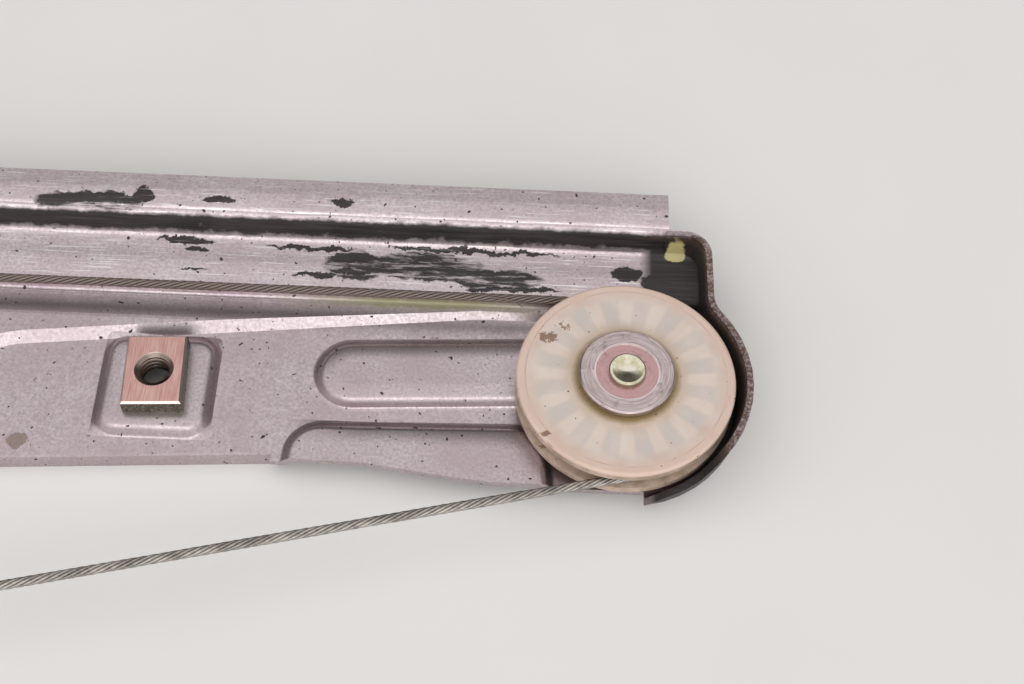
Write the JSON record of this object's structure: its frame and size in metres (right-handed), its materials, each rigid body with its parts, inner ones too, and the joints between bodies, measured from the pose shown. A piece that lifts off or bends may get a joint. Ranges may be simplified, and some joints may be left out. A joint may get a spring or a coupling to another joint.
{
  "type": "window regulator",
  "caption": "Cable window regulator with a stamped guide rail, end pulleys, a winding drum in a housing and a sliding glass clamp, made to take a separate motor.",
  "frame": {"origin": "centre of the drum's drive socket, at the motor face on the underside of the rail plate", "axes": "+X along the rail towards the upper pulley, +Y from the drum towards the guide lip, +Z out of the rail on the side that carries drum and pulleys"},
  "size_m": [0.5204, 0.1385, 0.0332],
  "materials": {
    "zinc_plated_sheet": "satin zinc plating, greased",
    "plated_steel": "turned and zinc plated",
    "rivet_steel": "yellow passivated",
    "natural_nylon": "moulded, translucent",
    "black_nylon": "moulded, fine grain",
    "acetal": "moulded",
    "wire_rope": "galvanised strand, greased",
    "brass": "turned",
    "rubber": "moulded",
    "zinc_die_cast": "cast"
  },
  "bodies": {
    "rail_frame": {"guide_rail": "zinc_plated_sheet", "upper_weld_nut": "plated_steel", "lower_weld_nut": "plated_steel", "upper_pulley_bush": "plated_steel", "lower_pulley_bush": "plated_steel", "upper_pulley_rivet": "rivet_steel", "lower_pulley_rivet": "rivet_steel", "lift_cable": "wire_rope", "lower_cable": "wire_rope", "drum_housing": "black_nylon", "housing_rivets": "plated_steel", "motor_inserts": "brass", "thrust_washer": "plated_steel", "down_stop": "rubber"},
    "glass_carrier": {"slide_shoe": "black_nylon", "shoe_rivets": "plated_steel", "carrier_base": "zinc_plated_sheet", "clamp_jaw": "black_nylon", "inner_glass_pad": "rubber", "outer_glass_pad": "rubber", "clamp_bolt": "plated_steel", "clamp_nut": "plated_steel", "lift_cable_ferrule": "zinc_die_cast", "lower_cable_ferrule": "zinc_die_cast", "lift_tension_spring": "rivet_steel", "lower_tension_spring": "rivet_steel"},
    "winding_drum": {"cable_drum": "acetal", "lift_drum_nipple": "zinc_die_cast", "lower_drum_nipple": "zinc_die_cast"},
    "top_pulley": {"upper_pulley": "natural_nylon"},
    "bottom_pulley": {"lower_pulley": "natural_nylon"}
  },
  "joints": [
    {"name": "carrier_slide", "type": "slide", "parent": "rail_frame", "child": "glass_carrier", "axis": [1, 0, 0], "range_m": [-0.18, 0.18]},
    {"name": "drum_spin", "type": "hinge", "parent": "rail_frame", "child": "winding_drum", "pos_m": [0, 0, 0.006], "axis": [0, 0, 1], "range_deg": [-470, 470]},
    {"name": "upper_pulley_spin", "type": "hinge", "parent": "rail_frame", "child": "top_pulley", "pos_m": [0.24, 0.051, 0.006], "axis": [0, 0, 1], "range_deg": [-650, 650]},
    {"name": "lower_pulley_spin", "type": "hinge", "parent": "rail_frame", "child": "bottom_pulley", "pos_m": [-0.24, 0.051, 0.006], "axis": [0, 0, 1], "range_deg": [-650, 650]}
  ],
  "couplings": [
    {"joint": "drum_spin", "follows": "carrier_slide", "rad_per_m": -45.455},
    {"joint": "upper_pulley_spin", "follows": "carrier_slide", "rad_per_m": -62.893},
    {"joint": "lower_pulley_spin", "follows": "carrier_slide", "rad_per_m": -62.893}
  ]
}
